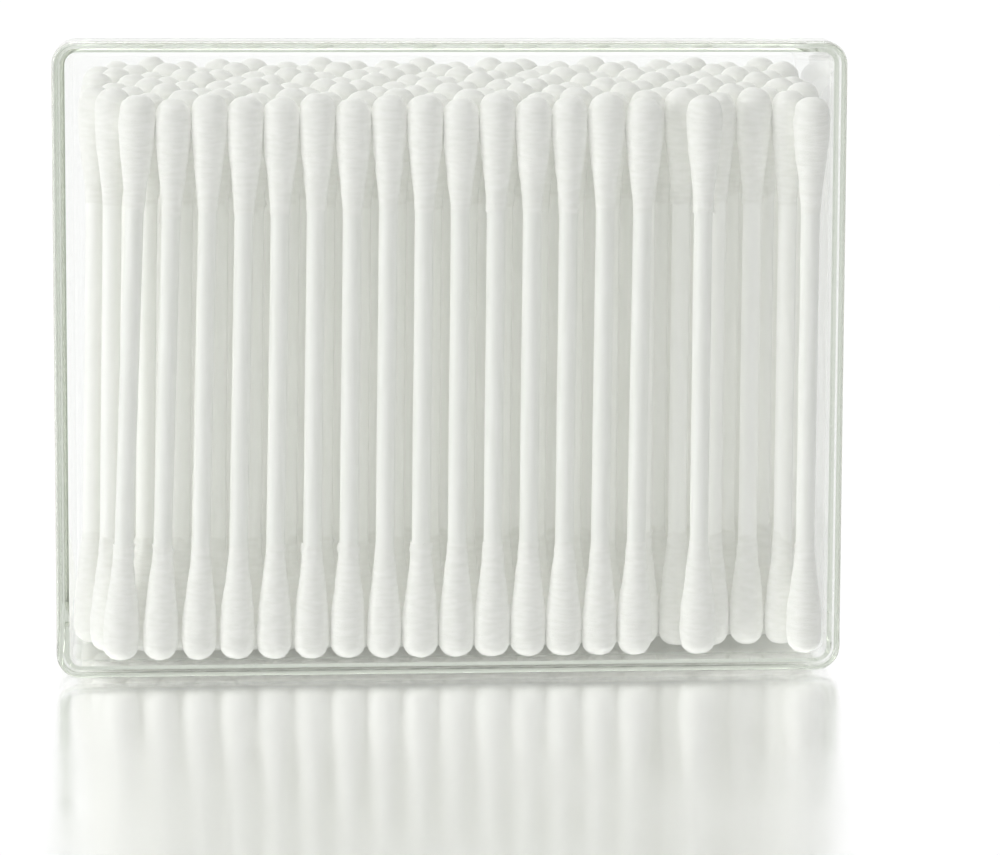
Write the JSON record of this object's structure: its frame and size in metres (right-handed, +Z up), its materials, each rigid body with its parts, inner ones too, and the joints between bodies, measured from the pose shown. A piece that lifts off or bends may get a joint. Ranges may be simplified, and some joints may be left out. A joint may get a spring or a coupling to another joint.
{
  "type": "cotton swab tub",
  "caption": "Clear rounded plastic tub with a push-on clear lid, packed with rows of double-ended cotton swabs and standing on its long side.",
  "frame": {"origin": "middle of the closed pack's underside, on the surface it stands on", "axes": "+Z up, +X along the pack's width, -Y out through the lid, which faces forward and leans back a little"},
  "size_m": [0.105, 0.0452, 0.0849],
  "materials": {
    "clear_plastic": "clear moulded plastic, glossy",
    "stick": "white, smooth, satin",
    "cotton": "white wound cotton wool"
  },
  "bodies": {
    "tub": {"row_1_lower_tips": "cotton", "row_1_sticks": "stick", "row_1_upper_tips": "cotton", "row_2_lower_tips": "cotton", "row_2_sticks": "stick", "row_2_upper_tips": "cotton", "row_3_lower_tips": "cotton", "row_3_sticks": "stick", "row_3_upper_tips": "cotton", "row_4_lower_tips": "cotton", "row_4_sticks": "stick", "row_4_upper_tips": "cotton", "row_5_lower_tips": "cotton", "row_5_sticks": "stick", "row_5_upper_tips": "cotton", "row_6_lower_tips": "cotton", "row_6_sticks": "stick", "row_6_upper_tips": "cotton", "row_7_lower_tips": "cotton", "row_7_sticks": "stick", "row_7_upper_tips": "cotton", "row_8_lower_tips": "cotton", "row_8_sticks": "stick", "row_8_upper_tips": "cotton", "tub": "clear_plastic"},
    "lid": {"lid": "clear_plastic"}
  },
  "joints": [
    {"name": "lid_pull", "type": "slide", "parent": "tub", "child": "lid", "axis": [0, -0.9976, 0.0698], "range_m": [0, 0.04]}
  ]
}
